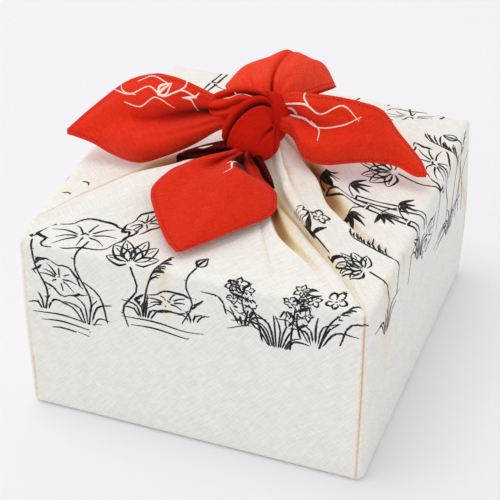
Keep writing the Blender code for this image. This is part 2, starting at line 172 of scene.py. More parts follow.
def wrap_base(places, rows):
    """Points of the wrap without its folds."""
    angle = np.radians(np.interp(places, LINE_AT, LINE_ANGLE))
    toward = np.stack([np.cos(angle), np.sin(angle)], 1)
    centre = np.array([0.0, NECK_Y])
    sways = np.stack([ease(sway, LINE_AT, places) for sway in LINE_SWAY.T])
    sways = np.vstack([0 * sways[:1], sways, 0 * sways[:1]])
    start = np.array([outline(p, EDGE_ROUND) for p in places])
    way = centre + toward * NECK_RADIUS - start
    aside = np.stack([way[:, 1], -way[:, 0]], 1) / np.linalg.norm(way, axis=1)[:, None]
    points = np.zeros((len(rows), len(places), 3))
    for k, (kind, value, _) in enumerate(rows):
        quarter = value * math.pi / 2
        if kind == "base":
            plan, z = np.array([outline(p, EDGE_ROUND) for p in places]) * value, 0.0
        elif kind == "foot":
            inset = EDGE_ROUND * (1 - math.sin(quarter))
            plan, z = np.array([outline(p, inset) for p in places]), EDGE_ROUND * (1 - math.cos(quarter))
        elif kind == "side":
            plan = np.array([outline(p, 0.0) for p in places])
            z = EDGE_ROUND + value * (HEIGHT - 2 * EDGE_ROUND)
        elif kind == "brow":
            inset = EDGE_ROUND * (1 - math.cos(quarter))
            plan = np.array([outline(p, inset) for p in places])
            z = HEIGHT - EDGE_ROUND * (1 - math.sin(quarter))
        elif kind == "top":
            after = min(4, int(np.searchsorted(SWAY_AT, value, side="right")) - 1)
            share = smooth((value - SWAY_AT[after]) / (SWAY_AT[after + 1] - SWAY_AT[after]))
            sweep = sways[after] + share * (sways[after + 1] - sways[after])
            plan = start + way * value + aside * sweep[:, None]
            z = HEIGHT + np.interp(value, *zip(*TENT))
        else:
            plan = centre + toward * NECK_RADIUS * (1.0 - 0.5 * value)
            z = HEIGHT + TENT[-1][1] + value * (NECK_TOP - TENT[-1][1])
        points[k, :, :2] = plan
        points[k, :, 2] = z
    return points


def unit(vectors):
    return vectors / np.maximum(np.linalg.norm(vectors, axis=-1, keepdims=True), 1e-9)


def frames(points):
    """Unit vectors along the rows and out of the surface, on a closed ring of columns."""
    across = unit(np.roll(points, -1, axis=1) - np.roll(points, 1, axis=1))
    return across, unit(np.cross(across, np.gradient(points, axis=0)))


# Sections across the sharp folds: distance from the line, sideways shift,
# height, and how much painted shade the crease gets there, in millimetres but
# for the last, which is 0 to 1.
SECTIONS = {
    "flap": ((-38, 0, 0, 0), (-31, 0, 1, 0.1), (-25, 0, 2.4, 0.35), (-20, 0, 1.4, 0.75), (-15, 0, -0.8, 1),
             (-11, 0, -3, 1), (-7, 0.5, -4.6, 1), (-2.5, 3, -4.5, 1), (-1.2, 3, -1.5, 0.9),
             (-0.4, 0, 2, 0.2), (0, -1, 3, 0), (1.5, -0.8, 3.8, 0), (5, 0, 3.6, 0), (14, 0, 2, 0),
             (30, 0, 0, 0)),
    "valley": ((-22, 0, 0, 0), (-12, 0, 0.4, 0), (-6, 0, 1.4, 0), (-2.6, 0, 1, 0), (-0.8, 0, -0.6, 0.1),
               (-0.2, 0, -1.6, 0.75), (0.4, 0, -1.7, 0.7), (1, 0, -1.3, 0.14), (3, 0, -0.5, 0.05),
               (6, 0, 0, 0), (14, 0, 0, 0)),
    "swell": ((-10, 0, 0, 0), (-4, 0, 0.5, 0.05), (-1.5, 0, -0.2, 0.32), (0, 0, -0.5, 0.36), (1.5, 0, -0.2, 0.22),
              (4, 0, 0.5, 0), (10, 0, 0, 0)),
    "rim": ((-12, 0, 0, 0), (-7, 0, -0.8, 0.12), (-4.5, 0, -1.4, 0.24), (-2.4, 0, -0.8, 0.14), (-1, 0, 0.8, 0),
            (0.3, 0, 1.9, 0), (1.8, 0, 2.3, 0), (4.5, 0, 2, 0), (9, 0, 0.8, 0), (16, 0, 0, 0)),
    "inside": ((0, 0, 0, 0), (2, 0, 0.5, 0), (3.4, 0, -0.2, 0.3), (5, 0, -1.5, 0.75), (7.5, 0, -1.8, 0.6),
               (10, 0, -0.8, 0.3), (14, 0, 0, 0)),
    "groove": ((-18, 0, 0, 0), (-8, 0, 1.4, 0), (-3, 0, 2.4, 0), (-1.2, 0.4, 2.2, 0.1), (-0.3, 0.4, 0.6, 0.6),
               (0.6, 0, -2.6, 1), (2, 0, -3.8, 1), (4.5, 0, -3.2, 1), (6.5, 0, -2, 1), (8.5, 0, -0.2, 0.78),
               (10.5, 0, 1.2, 0.3), (12, 0, 1.6, 0), (14, 0, 1.2, 0), (20, 0, 0, 0)),
    "lap": ((-30, 0, 0, 0), (-14, 0, 0.8, 0), (-5, 0, 1.5, 0), (-1.6, 0.9, 1.6, 0), (-0.6, 1.8, 1.2, 0.1),
            (0, 1.9, 0.2, 0.5), (0.7, 0, -1, 1), (1.8, -0.2, -1.3, 0.9), (4, 0, -0.9, 0.2), (12, 0, 0, 0)),
    "trough": ((-16, 0, 0, 0), (-7, 0, 0.3, 0), (-2.4, 0, 0.5, 0), (-1.2, 0, -0.6, 0.75), (-0.2, 0, -2.2, 1),
               (1.2, 0, -2.4, 1), (3.5, 0, -1.3, 0.85), (6, 0, -0.3, 0.42), (9, 0, 0.3, 0.1), (12, 0, 0.1, 0),
               (14, 0, 0, 0)),
}
# Which line has which section, and its strength and breadth at these shares of
# the way from the edge to the neck.
CREASE_STOPS = (0.0, 0.25, 0.5, 0.75, 0.92)
CREASES = (
    ("flap_edge", "flap", (0.7, 0.9, 1, 1.2, 0.6), (0.22, 0.36, 0.8, 1.1, 0.7)),
    ("front_right", "valley", (0.7, 0.9, 1, 1, 0.3), (0.6, 0.7, 0.9, 0.9, 0.4)),
    ("roll_rim", "swell", (0.6, 1, 0.5, 0, 0), (0.6, 0.9, 1, 1, 1)),
    ("roll_rim", "rim", (0, 0.05, 0.45, 1.1, 1), (0.8, 0.9, 1, 0.9, 0.6)),
    ("roll_rim", "inside", (0, 0, 0, 0.2, 1.2), (1, 1, 1, 0.9, 0.7)),
    ("right_valley", "groove", (0.15, 0.5, 1, 1.2, 0.3), (0.25, 0.5, 1.1, 1.3, 0.3)),
    ("lap", "lap", (0.9, 1, 1, 0.8, 0.1), (1, 1, 1, 0.8, 0.4)),
    ("back_right", "lap", (1, 1, 0.9, 0.6, 0), (0.8, 1, 1, 0.8, 0.4)),
    ("front_pleat", "valley", (0, 0.35, 0.45, 0, 0), (0.4, 0.5, 0.6, 0.6, 0.6)),
    ("front_trough", "trough", (0, 0.3, 1, 1.2, 0.3), (0.4, 0.7, 1.1, 1.4, 0.6)),
)
# Soft creases and folds on the sides: (place, height) of both ends, strength
# there, breadth, and 1 for a lap whose near side is the higher.
SIDE_CREASES = (
    (512.4, 112, 512.6, 60, 0.9, 0.9, 0.9, 0), (512.6, 60, 511.6, 2, 0.9, 0.7, 0.9, 0),
    (317.8, 36, 317, 4, 0.8, 0.8, 1, 0), (317.4, 112, 317.8, 36, 0.35, 0.5, 1, 0),
    (575, 112, 576.5, 98, 0.5, 0.2, 2, 0), (546, 112, 550, 60, 0.32, 0.1, 9, 0),
    (684, 112, 692, 104, 1.3, 1.2, 1.6, 1), (692, 104, 703.5, 90, 1.2, 0.9, 2, 1),
    (703.5, 90, 720, 58, 0.9, 0.5, 2.4, 1), (720, 58, 727, 28, 0.5, 0.3, 2.4, 1),
    (727.4, 108, 727.6, 12, 0.6, 0.4, 1, 0),
    (400, 112, 404, 84, 0.3, 0.1, 4, 0),
    (97.6, 110, 97.2, 6, 0.6, 0.5, 1, 0), (312.6, 112, 312.2, 6, 0.5, 0.7, 1, 0),
    (150, 112, 156, 70, 0.4, 0.1, 4, 0), (40, 112, 34, 72, 0.4, 0.1, 4.5, 0),
    (102.6, 110, 106, 8, 0.5, 0.6, 1.2, 0),
)

# Each crease presses the cloth in and aside by its section, no further round
# than its reach, and the painted shade in it grows deeper towards the knot.
CREASE_REACH = 75.0
places, rows = round_places(), upward_rows()
for name in [crease[0] for crease in CREASES]:
    places[np.abs(places - FOLDS[name][0]).argmin()] = FOLDS[name][0]
stations = np.array([row[2] for row in rows])
base = wrap_base(places, rows)
across, outward = frames(base)
lift = np.stack([ease(height, LINE_AT, places) for height in LINE_LIFT.T])
lift = np.concatenate([np.zeros((1, len(places))), lift])
lift = np.stack([[np.interp(s, LIFT_AT, lift[:, c]) for c in range(len(places))] for s in stations])
wrapped = base + outward * lift[:, :, None]
crease_shade = np.zeros(wrapped.shape[:2])
across, outward = frames(wrapped)
flat_wrapped = wrapped.copy()
top_at = np.clip((stations - 1.0) / 4.0, 0.0, 1.0)
for name, section, strength, breadth in CREASES:
    column = int(np.abs(places - FOLDS[name][0]).argmin())
    power = np.interp(top_at, CREASE_STOPS, strength) * np.clip((stations - BROW_FROM) / (1 - BROW_FROM), 0, 1)
    wide = np.interp(top_at, CREASE_STOPS, breadth)
    away = np.sum((flat_wrapped - flat_wrapped[:, column:column + 1]) * across[:, column:column + 1], axis=2)
    away = np.where(np.abs(places - places[column])[None, :] < CREASE_REACH, away, 99.0) / wide[:, None]
    at, shift, height, shade_depth = np.array(SECTIONS[section], float).T
    shift = np.interp(away, at, shift) * (power * wide)[:, None]
    height = np.interp(away, at, height) * power[:, None]
    wrapped += across * shift[:, :, None] + outward * height[:, :, None]
    shade = np.clip(power, 0, 1) * np.interp(top_at, (0.0, 0.25, 0.5, 0.75), (0.45, 0.55, 0.95, 1.0))
    crease_shade = np.maximum(crease_shade, np.interp(away, at, shade_depth) * shade[:, None])


def pressed(gap):
    """A crease pressed in by one, with a low swell on both sides of it."""
    return -np.exp(-gap ** 2) + 0.35 * np.exp(-(np.abs(gap) - 2.2) ** 2)


side_rows = (stations < 1.0) & (stations > 0.0)
place_grid, z_grid = np.broadcast_arrays(places[None, :], base[:, :, 2])
for p0, z0, p1, z1, s0, s1, breadth, lapped in SIDE_CREASES:
    run = np.array([p1 - p0, z1 - z0])
    share = np.clip(((place_grid - p0) * run[0] + (z_grid - z0) * run[1]) / (run @ run), 0, 1)
    gap_p, gap_z = place_grid - (p0 + share * run[0]), z_grid - (z0 + share * run[1])
    dist = np.hypot(gap_p, gap_z) * np.where(gap_p < 0, -1, 1) / breadth
    power = (s0 + share * (s1 - s0)) * side_rows[:, None]
    if lapped:
        height = 0.6 * np.exp(-np.abs(dist) / 6.0) * np.where(dist < 0, 1, -1) * (1 - np.exp(-dist ** 2))
    else:
        height = pressed(dist)
    wrapped += outward * (height * power)[:, :, None]
    # Painted shade along each side crease, as in the sharp ones.
    crease_shade = np.maximum(crease_shade, np.exp(-(dist * 1.2) ** 2) * power * 0.75)


def ring_of(values):
    """Rows of values with the first column again at the end."""
    return np.concatenate([values, values[:, :1]], axis=1)


def grid_mesh(name, points):
    """A grid of faces laid through rows of points, as a mesh in metres."""
    up, along = points.shape[0] - 1, points.shape[1] - 1
    bm = bmesh.new()
    bmesh.ops.create_grid(bm, x_segments=along, y_segments=up, size=1.0)
    mesh = bpy.data.meshes.new(name)
    bm.to_mesh(mesh)
    bm.free()
    mesh.vertices.foreach_set("co", (points.reshape(-1, 3) * 0.001).astype(np.float32).ravel())
    return mesh


def corner_index(mesh):
    """The vertices at the four corners of each face."""
    index = np.empty(len(mesh.loops), np.int32)
    mesh.loops.foreach_get("vertex_index", index)
    return index.reshape(-1, 4)


def corners_of(mesh, values):
    """Values given for the grid's vertices, at the four corners of each face."""
    return values.reshape(-1, values.shape[-1])[corner_index(mesh)]


def set_corner_map(mesh, name, values):
    mesh.uv_layers.new(name=name).data.foreach_set("uv", values.astype(np.float32).ravel())


def set_crease_shade(mesh, shade_depth):
    """How much painted shade each vertex gets in a crease, for the cloth's colour."""
    mesh.attributes.new("crease", "FLOAT", "POINT").data.foreach_set("value", shade_depth.astype(np.float32).ravel())


def finish_piece(name, mesh, materials, thick, seam=False):
    """Object from a grid mesh: seams closed, smooth, given its thickness, riding on the body."""
    bm = bmesh.new()
    bm.from_mesh(mesh)
    if seam:
        bmesh.ops.remove_doubles(bm, verts=bm.verts, dist=1e-6)
        bmesh.ops.recalc_face_normals(bm, faces=bm.faces)
    for face in bm.faces:
        face.smooth = True
    bm.to_mesh(mesh)
    bm.free()
    piece = show(name, mesh)
    for material in materials:
        mesh.materials.append(material)
    if thick:
        solidify = piece.modifiers.new("cloth thickness", "SOLIDIFY")
        solidify.thickness = thick * 0.001
        solidify.offset = -1.0
        solidify.material_offset = len(materials) - 1
        solidify.material_offset_rim = 0
    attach(piece, "root")
    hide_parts("cloth")
    return piece


# Brushed drawings, printed on the flat cloth: lines of points with the brush's
# half breadth at each. Every face of the cloth keeps, at its corners, how far
# it lies from its nearest strokes, so the ink follows the folds.
PRINT_LAYERS = 3
draw = random.Random(11)


def spline(values, count):
    """A smooth run through rows of values, evenly spaced."""
    values = np.asarray(values, float)
    ends = np.concatenate([2 * values[:1] - values[1:2], values, 2 * values[-1:] - values[-2:-1]])
    at = np.linspace(0, len(values) - 1, count)
    k = np.minimum(at.astype(int), len(values) - 2)
    t = (at - k).reshape((-1,) + (1,) * (values.ndim - 1))
    p0, p1, p2, p3 = ends[k], ends[k + 1], ends[k + 2], ends[k + 3]
    return 0.5 * (2 * p1 + (p2 - p0) * t + (2 * p0 - 5 * p1 + 4 * p2 - p3) * t ** 2
                  + (3 * p1 - p0 - 3 * p2 + p3) * t ** 3)


def stroke(points, breadths, steps):
    """A smooth brush stroke through a few points, with its half breadth along it."""
    return spline(points, steps), np.interp(np.linspace(0, 1, steps), np.linspace(0, 1, len(breadths)), breadths)


def print_on(mesh, corner_places, strokes):
    """Give each face its nearest strokes: signed distance and half breadth at its corners."""
    faces = len(corner_places)
    best = np.full((faces, PRINT_LAYERS), 1e6)
    layers = np.full((faces, PRINT_LAYERS, 4, 2), 0.0)
    layers[..., 0], layers[..., 1] = 5.0, -5.0
    middle = corner_places.mean(axis=1)
    size = np.linalg.norm(corner_places - middle[:, None], axis=2).max(axis=1)
    for line, breadth in strokes:
        low, high = line.min(axis=0) - 4.0, line.max(axis=0) + 4.0
        near = np.nonzero(np.all((middle > low) & (middle < high), axis=1))[0]
        if not len(near):
            continue
        p0, run = line[:-1], line[1:] - line[:-1]
        length = np.maximum(np.linalg.norm(run, axis=1), 1e-6)
        heading = run / length[:, None]
        rel = middle[near][:, None] - p0[None]
        t = np.clip(np.einsum("fsk,sk->fs", rel, heading), 0.0, length)
        dist = np.linalg.norm(rel - t[..., None] * heading, axis=2)
        seg = dist.argmin(axis=1)
        gap = dist[np.arange(len(near)), seg] - breadth[seg] - size[near]
        hit = gap < 0.3
        near, seg, gap = near[hit], seg[hit], gap[hit]
        rel = corner_places[near] - p0[seg][:, None]
        heading = heading[seg]
        t = np.einsum("fck,fk->fc", rel, heading)
        side = heading[:, None, 0] * rel[..., 1] - heading[:, None, 1] * rel[..., 0]
        full = length[seg][:, None]
        wide = 0.12 + breadth[seg][:, None] + (breadth[seg + 1] - breadth[seg])[:, None] * np.clip(t / full, 0, 1)
        wide = wide - np.where(seg[:, None] == 0, np.maximum(-t, 0) * 1.2, 0.0)
        wide = wide - np.where(seg[:, None] == len(length) - 1, np.maximum(t - full, 0) * 1.2, 0.0)
        worst = best[near].argmax(axis=1)
        better = gap < best[near, worst]
        near, worst = near[better], worst[better]
        best[near, worst] = gap[better]
        layers[near, worst, :, 0] = side[better]
        layers[near, worst, :, 1] = wide[better]
    for k in range(PRINT_LAYERS):
        set_corner_map(mesh, "ink_%d" % k, layers[:, k])


def mark(mesh, corner_places, motifs, shade_depth, hem=None):
    """Everything that the cloth's finish reads: place on the cloth, hem, prints, painted crease shade."""
    set_corner_map(mesh, "cloth", corner_places)
    if hem is not None:
        set_corner_map(mesh, "hem", corners_of(mesh, hem))
    print_on(mesh, corner_places, [line for motif in motifs for line in motif])
    set_crease_shade(mesh, shade_depth)


def ripples(x, y, length, count=3):
    """Broken lines of still water."""
    result = []
    for k in range(count):
        low = y - 4.5 * k
        result.append(stroke([(x + 5 * k, low), (x + length * 0.4, low + 1.2), (x + length * 0.75, low - 0.6),
                              (x + length - 9 * k, low + 0.8)], (0.12, 0.5, 0.25, 0.1), 16))
    return result


def out_and_side(turn):
    """Unit vectors in a direction and to its left."""
    return np.array([math.cos(turn), math.sin(turn)]), np.array([-math.sin(turn), math.cos(turn)])


def upright(lean):
    """A unit vector leaning to the right of straight up."""
    return np.array([math.sin(lean), math.cos(lean)])


def blade(x, y, length, lean, bend, breadth=0.55):
    """A blade of grass from its root, leaning and bending over."""
    root = np.array([x, y])
    mid, tip = root + length * upright(lean) * (0.55, 0.6), root + length * upright(lean + bend)
    return [stroke([root, mid, tip], (breadth * 0.6, breadth, breadth * 0.8, 0.12), 9)]


def leaf(x, y, length, turn, breadth=1.5):
    """A bamboo leaf in one press of the brush."""
    root = np.array([x, y])
    mid, tip = root + 0.45 * length * out_and_side(turn + 0.10)[0], root + length * out_and_side(turn)[0]
    return [stroke([root, mid, tip], (0.15, breadth, breadth * 0.75, 0.1), 8)]


def bloom(x, y, size, turn, breadth=0.42):
    """A small open flower: loose petals round a dotted middle."""
    result, at, petals = [], np.array([x, y]), 5
    for k in range(petals):
        a = turn + 2 * math.pi * (k + 0.16 * math.sin(3 * k + turn)) / petals
        out, side = out_and_side(a)
        reach = size * (1.0 + 0.18 * math.sin(5 * k + 2 * turn))
        points = [at + out * reach * u + side * reach * v for u, v in
                  ((0.22, -0.05), (0.60, -0.34), (1.0, -0.06), (0.62, 0.34), (0.26, 0.08))]
        result.append(stroke(points, (0.15, breadth, breadth * 1.7, breadth * 0.8, 0.1), 14))
    result.append(stroke([at - (0.5, 0), at + (0.6, 0.2)], (0.6, 0.4), 3))
    return result


def lotus(x, y, size, turn):
    """An open lotus from the side: pointed petals, the near ones over the far ones."""
    at, result, breadth = np.array([x, y]), [], 0.55
    for spread, reach, wide in ((-1.25, 0.86, 0.20), (1.25, 0.86, 0.20), (-0.72, 1.05, 0.24), (0.72, 1.05, 0.24),
                                (-0.28, 1.12, 0.22), (0.34, 1.10, 0.22), (0.02, 0.80, 0.30)):
        a = turn + spread
        out, side = out_and_side(a)
        for way, heavy in ((1, 1.5), (-1, 0.9)):
            points = [at + out * size * reach * u + side * size * wide * v * way for u, v in
                      ((0.12, 0.15), (0.42, 0.95), (0.78, 0.62), (1.0, 0.0))]
            result.append(stroke(points, (0.2, breadth * heavy, breadth * 0.8, 0.2), 12))
        result.append(stroke([at + out * size * reach * 0.55, at + out * size * reach * 0.86], (0.1, 0.3), 4))
    return result


def lotus_leaf(x, y, size, turn, flatness=0.45, breadth=0.75):
    """A broad lotus leaf seen at a slant: wavy rim, hollow middle and its veins."""
    out, side = out_and_side(turn)
    at, result, rim = np.array([x, y]), [], []
    for k in range(37):
        a = 2 * math.pi * k / 36 + 0.3
        wave = 1.0 + 0.10 * math.sin(5 * a + 1.0) + 0.05 * math.sin(9 * a)
        rim.append(at + out * size * wave * math.cos(a) + side * size * flatness * wave * math.sin(a))
    for first, last, heavy in ((0, 11, 1.0), (11, 21, 1.5), (22, 30, 0.8), (30, 36, 1.3)):
        result.append(stroke(rim[first:last + 1], (0.25, breadth * heavy, breadth * heavy * 0.6, 0.2), 26))
    for k in (1, 5, 9, 13, 17, 20, 24, 28, 32):
        near, far = at * 0.82 + rim[k] * 0.18, at * 0.16 + rim[k] * 0.84
        bend = (near + far) / 2 + np.array([0.0, 0.05 * size])
        result.append(stroke([near, bend, far], (0.55, 0.35, 0.1), 8))
    result.append(stroke([at - out * size * 0.1, at + side * size * 0.05, at + out * size * 0.1], (0.3, 0.7, 0.3), 6))
    return result


def stalk(points, breadth=0.6):
    """A long bending stalk with its small thorns."""
    result = [stroke(points, (breadth, breadth * 0.7, breadth * 0.9, breadth * 0.5), 24)]
    line = result[0][0]
    for k in range(3, 22, 3):
        way = 1 if k % 2 else -1
        result.append(stroke([line[k], line[k] + (way * 1.3, 0.7)], (0.3, 0.15), 3))
    return result


def bud(x, y, size, turn):
    """A closed lotus bud."""
    out, side = out_and_side(turn)
    at = np.array([x, y])
    return [stroke([at, at + out * size * 0.4 + side * size * v, at + out * size],
                   (0.4, 0.8 if v > 0 else 0.5, 0.2), 10) for v in (0.34, -0.30, 0.06)]


def rush(x, y, height, lean):
    """A reed: a long thin stem with a feathery head on one side."""
    root = np.array([x, y])
    mid, top = root + 0.5 * height * upright(lean), root + height * upright(lean * 1.6)
    result = [stroke([root, mid, top], (0.6, 0.45, 0.3), 16)]
    line = result[0][0]
    side = 1.0 if lean > 0 else -1.0
    for k in range(9, 16):
        for reach in (0.0, 0.5):
            at = line[k] if reach == 0 else (line[k] + line[k - 1]) / 2
            turn = math.pi / 2 - side * (0.8 + 0.6 * draw.random())
            size = (4.5 + 5.0 * draw.random()) * height / 50
            tip = at + size * out_and_side(turn)[0]
            result.append(stroke([at, at * 0.5 + tip * 0.5 + (0, 0.8), tip], (0.15, 0.6, 0.12), 5))
    return result


def bamboo(x, y, height, lean):
    """A stem of bamboo in joints, with sprays of leaves."""
    result, root, along = [], np.array([x, y]), upright(lean)
    side = np.array([along[1], -along[0]]) * 2.1
    joints = max(2, int(height / 19))
    step = height / joints
    for k in range(joints):
        low = root + k * step * along
        high = low + (step - 1.6) * along
        result.append(stroke([low - side, (low + high) / 2 - side * 0.85, high - side], (0.8, 0.5, 0.8), 8))
        result.append(stroke([low + side, (low + high) / 2 + side * 0.85, high + side], (0.7, 0.35, 0.7), 8))
        result.append(stroke([high - side * 1.15, high + side * 1.15], (0.75, 0.45), 4))
    for k in range(joints):
        if draw.random() < 0.85:
            at = root + (k + 1) * step * along
            way = 1 if draw.random() < 0.5 else -1
            end = at + (way * (9 + 5 * draw.random()), 5 + 4 * draw.random())
            result.append(stroke([at, (at + end) / 2 + (0, 1.5), end], (0.4, 0.3, 0.25), 6))
            for spread in (-1.15, -0.6, -0.1, 0.45):
                result += leaf(end[0], end[1], 9 + 6 * draw.random(), -math.pi / 2 + way * 0.45 + spread, 1.35)
    return result


def tuft(x, y, count, size):
    """A tuft of grass blades, fanned out."""
    result = []
    for k in range(count):
        share = (k + 0.5) / count - 0.5
        result += blade(x + share * size * 0.35, y + draw.random() * 1.5, size * (0.6 + 0.5 * draw.random()),
                        share * 1.5, share * 1.1 + 0.5 * (draw.random() - 0.5), 0.4 + 0.3 * draw.random())
    return result


def spray(x, y, size, turn):
    """A thin branching spray with small flowers."""
    out, side = out_and_side(turn)
    at, end = np.array([x, y]), np.array([x, y]) + out * size
    result = [stroke([at, (at + end) / 2 + side * size * 0.12, end], (0.6, 0.45, 0.25), 12)]
    line = result[0][0]
    for k, way in ((3, 1), (5, -1), (7, 1), (9, -1), (11, 1)):
        tip = line[k] + size * 0.24 * out_and_side(turn + way * 0.8)[0]
        result.append(stroke([line[k], tip], (0.3, 0.2), 4))
        result += bloom(tip[0], tip[1], 3.2 + 1.4 * draw.random(), draw.random() * 6, 0.3)
        result += leaf(line[k][0], line[k][1], 6 + 3 * draw.random(), turn - way * 0.9, 1.0)
    return result


def add(tree, kind, inputs=None, **settings):
    """A shader node with its settings and inputs; an input may be another node's socket."""
    item = tree.nodes.new(kind)
    for key, value in settings.items():
        setattr(item, key, value)
    for key, value in (inputs or {}).items():
        if isinstance(value, bpy.types.NodeSocket):
            tree.links.new(value, item.inputs[key])
        else:
            item.inputs[key].default_value = value
    return item


def maths(tree, operation, *values):
    return add(tree, "ShaderNodeMath", dict(enumerate(values)), operation=operation).outputs[0]


def blend(tree, factor, first, second):
    """Mix of two colours by a factor."""
    item = add(tree, "ShaderNodeMix", data_type="RGBA")
    for socket, value in (("Factor_Float", factor), ("A_Color", first), ("B_Color", second)):
        found = [i for i in item.inputs if i.identifier == socket][0]
        if isinstance(value, bpy.types.NodeSocket):
            tree.links.new(value, found)
        else:
            found.default_value = value
    return [o for o in item.outputs if o.identifier == "Result_Color"][0]


def linear(red, green, blue):
    """An sRGB colour, 0 to 255, as the renderer's linear colour."""
    return tuple(((v / 255 + 0.055) / 1.055) ** 2.4 if v > 10 else v / 3294.6 for v in (red, green, blue)) + (1.0,)


def new_material(name, roughness):
    material = bpy.data.materials.new(name)
    material.use_nodes = True
    tree = material.node_tree
    shader = tree.nodes["Principled BSDF"]
    shader.inputs["Roughness"].default_value = roughness
    shader.inputs["Specular IOR Level"].default_value = 0.12
    return material, tree, shader


def weave(tree, place, coarse):
    """Slub weave at 45 degrees: height of the threads, from a cloth position in millimetres."""
    turned = add(tree, "ShaderNodeMapping", {"Vector": place, "Rotation": (0.0, 0.0, math.radians(45.0))}).outputs[0]
    heights = []
    for across, along, weight in (((1.0, 0.10, 1.0), 0, 1.0), ((0.10, 1.0, 1.0), 1, 0.72)):
        scaled = add(tree, "ShaderNodeVectorMath", {0: turned, 1: tuple(v / coarse for v in across)},
                     operation="MULTIPLY").outputs[0]
        threads = add(tree, "ShaderNodeTexNoise", {"Vector": scaled, "Scale": 1.0, "Detail": 2.0, "Roughness": 0.6})
        heights.append(maths(tree, "MULTIPLY", threads.outputs["Fac"], weight))
    return maths(tree, "ADD", heights[0], heights[1])


HEM_BREADTH, STITCHES_AT, STITCH_STEP = 3.2, 2.4, 2.2


def cloth_material(name, ground, shade_colour, deep_shade_and_stitch, ink, layers, contrast, coarse=1.0, hem=False):
    """Plain-weave cloth, printed with lines, with shade painted into its colour where it lies in a crease."""
    material, tree, shader = new_material(name, 0.88)
    place = add(tree, "ShaderNodeUVMap", uv_map="cloth").outputs[0]
    threads = weave(tree, place, coarse)
    mottled = add(tree, "ShaderNodeTexNoise", {"Vector": place, "Scale": 0.045, "Detail": 3.0}).outputs["Fac"]
    level = maths(tree, "MULTIPLY_ADD", maths(tree, "SUBTRACT", threads, 0.86), contrast, 1.0)
    level = maths(tree, "ADD", level, maths(tree, "MULTIPLY_ADD", mottled, 0.05, -0.025))
    # Painted shade: the crease attribute turns the ground towards the shade colour, then towards the deep shade; the
    # deep colour also marks the hem's stitches.
    shade_depth = add(tree, "ShaderNodeAttribute", attribute_name="crease").outputs["Fac"]
    shade_onset = maths(tree, "MINIMUM", maths(tree, "MULTIPLY", shade_depth, 2.0), 1.0)
    shade_deepening = maths(tree, "MAXIMUM", maths(tree, "MULTIPLY_ADD", shade_depth, 2.0, -1.0), 0.0)
    colour = blend(tree, shade_deepening, blend(tree, shade_onset, ground, shade_colour), deep_shade_and_stitch)
    scaled = add(tree, "ShaderNodeVectorMath", {0: colour, "Scale": level}, operation="SCALE").outputs[0]
    height = threads
    if layers:
        ragged = add(tree, "ShaderNodeTexNoise", {"Vector": place, "Scale": 1.5, "Detail": 2.0}).outputs["Fac"]
        found = None
        for k in range(layers):
            pair = add(tree, "ShaderNodeSeparateXYZ", {0: add(tree, "ShaderNodeUVMap", uv_map="ink_%d" % k).outputs[0]})
            reach = maths(tree, "SUBTRACT", pair.outputs[1], maths(tree, "ABSOLUTE", pair.outputs[0]))
            found = reach if found is None else maths(tree, "MAXIMUM", found, reach)
        found = maths(tree, "ADD", found, maths(tree, "MULTIPLY_ADD", ragged, 0.6, -0.3))
        cover = add(tree, "ShaderNodeMapRange", {"Value": found, "From Min": -0.12, "From Max": 0.12},
                    interpolation_type="SMOOTHSTEP").outputs[0]
        dry = maths(tree, "MINIMUM", maths(tree, "MULTIPLY_ADD", threads, -0.25, 1.20), 1.0)
        scaled = blend(tree, maths(tree, "MULTIPLY", cover, dry), scaled, ink)
    if hem:
        along = add(tree, "ShaderNodeSeparateXYZ", {0: add(tree, "ShaderNodeUVMap", uv_map="hem").outputs[0]})
        distance = along.outputs[1]
        line = maths(tree, "COMPARE", distance, STITCHES_AT, 0.32)
        steps = maths(tree, "DIVIDE", along.outputs[0], STITCH_STEP)
        dash = maths(tree, "LESS_THAN", maths(tree, "FRACT", steps), 0.60)
        scaled = blend(tree, maths(tree, "MULTIPLY", maths(tree, "MULTIPLY", line, dash), 0.42), scaled, deep_shade_and_stitch)
        double = maths(tree, "LESS_THAN", distance, HEM_BREADTH)
        height = maths(tree, "ADD", height, maths(tree, "MULTIPLY", double, 1.6))
        height = maths(tree, "SUBTRACT", height, maths(tree, "MULTIPLY", line, 1.4))
    tree.links.new(scaled, shader.inputs["Base Color"])
    bump = add(tree, "ShaderNodeBump", {"Height": height, "Strength": 0.8, "Distance": 0.0004})
    tree.links.new(bump.outputs[0], shader.inputs["Normal"])
    return material


INK = linear(24, 21, 22)
# The second and third colours are painted shade in the creases of the white cloth.
CREAM, SHADE_GOLD, SHADE_BROWN = linear(242, 240, 235), linear(232, 212, 172), linear(150, 98, 52)
printed_cloth = cloth_material("printed cotton", CREAM, SHADE_GOLD, SHADE_BROWN, INK, PRINT_LAYERS, 0.30)
plain_cloth = cloth_material("plain cotton", CREAM, SHADE_GOLD, SHADE_BROWN, INK, 0, 0.30)

wrap_mesh = grid_mesh("cloth_wrap", ring_of(wrapped))
PANELS = {"back": 0.0, "left": 1000.0, "front": 2000.0, "right": 3000.0}


def on_panel(panel, points):
    """Position on the flat cloth of a panel: along its edge, and up from the foot of the box."""
    x, y, z = points[..., 0], points[..., 1], points[..., 2]
    a, inward = {"back": (-x, DEPTH / 2 - y), "left": (-y, x + WIDTH / 2),
                 "front": (x, y + DEPTH / 2), "right": (y, WIDTH / 2 - x)}[panel]
    top = HEIGHT + inward + np.maximum(z - HEIGHT - TENT[-1][1], 0.0)
    h = np.where(z < 0.01, -inward, np.where(z < HEIGHT - 0.01, z, top))
    return np.stack([a + PANELS[panel], h], -1)


